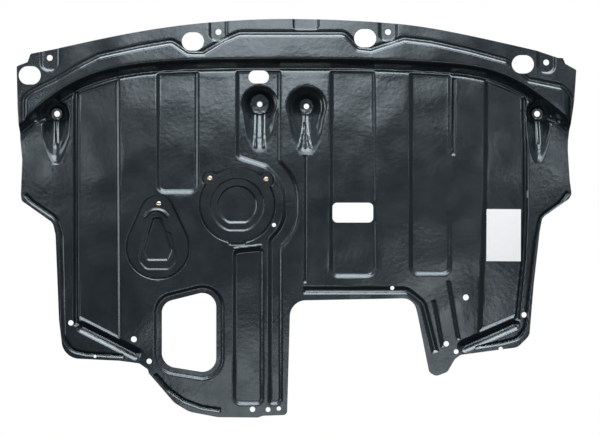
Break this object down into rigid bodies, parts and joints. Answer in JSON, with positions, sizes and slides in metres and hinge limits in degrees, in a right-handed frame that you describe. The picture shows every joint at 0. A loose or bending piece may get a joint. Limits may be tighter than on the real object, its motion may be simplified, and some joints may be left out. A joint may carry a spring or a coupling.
{
  "type": "engine splash shield",
  "caption": "Moulded black plastic engine splash shield with screw wells, cut-outs and two screwed access covers, road side up.",
  "frame": {"origin": "centre of the bounding box, at the underside of the screw wells", "axes": "+X across the car along the part's length, +Y towards the car's front, +Z out of the road side"},
  "size_m": [1.0395, 0.7416, 0.061],
  "materials": {
    "sheet_plastic": "moulded satin gloss with faint waves",
    "cover_plastic": "moulded satin gloss",
    "screw_metal": "plated, slightly brown",
    "label_paper": "matt paper with plain grey fields"
  },
  "bodies": {
    "root": {"shield": "sheet_plastic", "round_access_cover": "cover_plastic", "teardrop_access_cover": "cover_plastic", "screw_left_ear": "screw_metal", "screw_right_ear": "screw_metal", "screw_teardrop": "screw_metal", "paper_label": "label_paper"}
  },
  "joints": []
}
